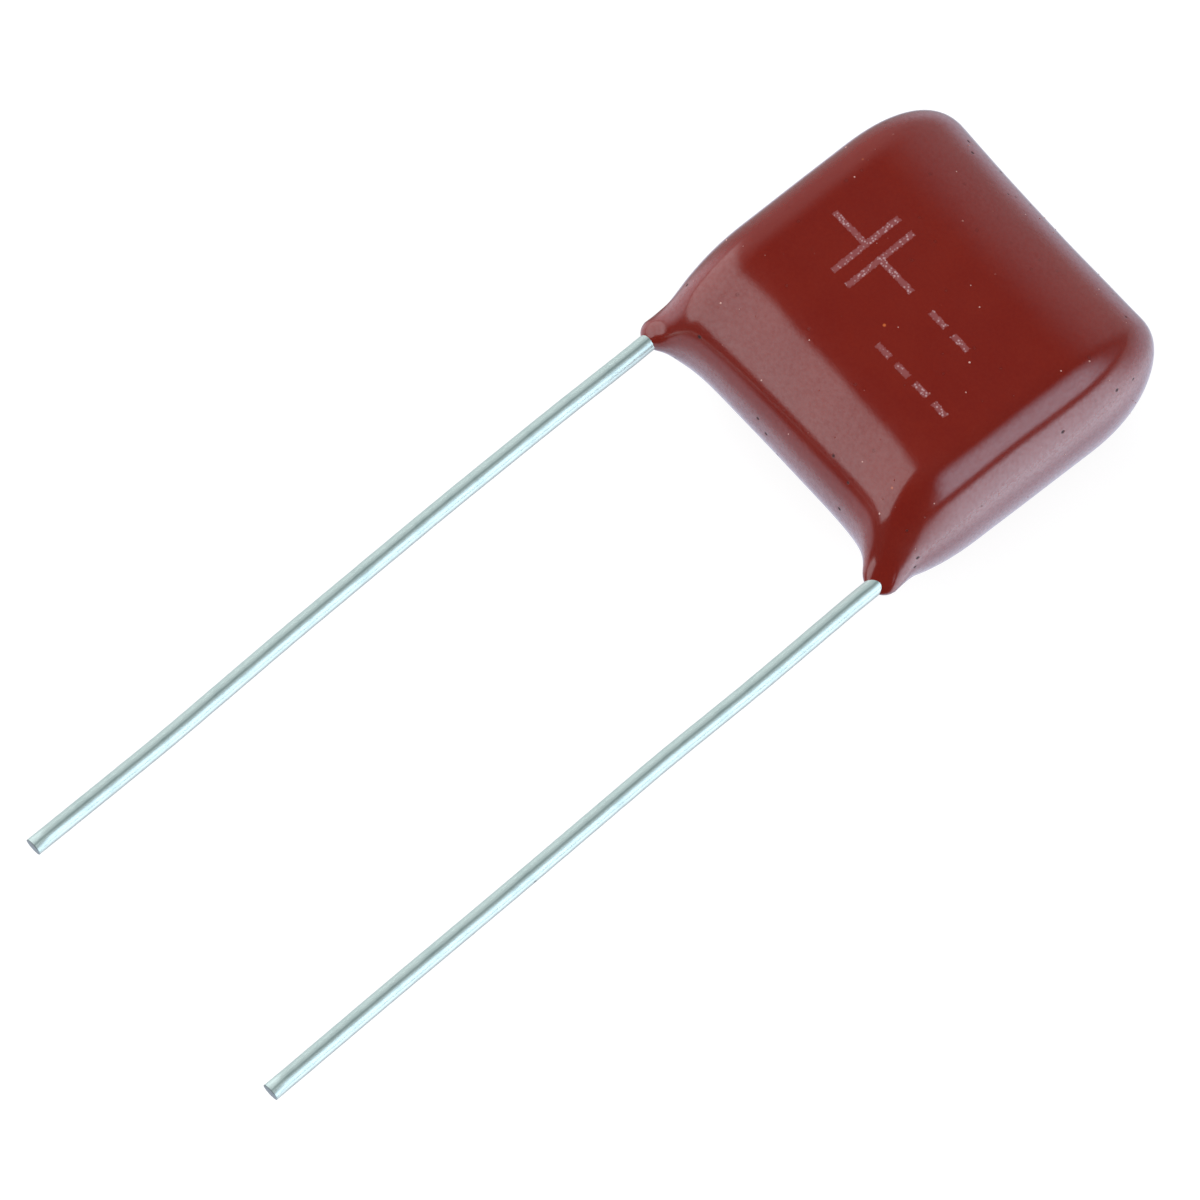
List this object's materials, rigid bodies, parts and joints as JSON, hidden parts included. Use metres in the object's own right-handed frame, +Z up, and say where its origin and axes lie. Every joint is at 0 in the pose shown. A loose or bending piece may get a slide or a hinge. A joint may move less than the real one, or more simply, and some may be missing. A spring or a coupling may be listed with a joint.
{
  "type": "polyester film capacitor",
  "caption": "Dipped radial film capacitor: rounded square resin body around a wound film element, with sprayed end contacts and straight parallel wire leads.",
  "frame": {"origin": "middle of the flat back face, on the surface that the capacitor lies on", "axes": "+Z up through the body's thickness, -Y along the leads, X across the leads"},
  "size_m": [0.0112, 0.0344, 0.0056],
  "materials": {
    "red_epoxy": "gloss",
    "metallised_film": "satin",
    "sprayed_zinc": "matte",
    "tinned_wire": "satin"
  },
  "bodies": {
    "root": {"epoxy_coating": "red_epoxy", "film_winding": "metallised_film", "end_spray_left": "sprayed_zinc", "end_spray_right": "sprayed_zinc", "lead_left": "tinned_wire", "lead_right": "tinned_wire"}
  },
  "joints": []
}
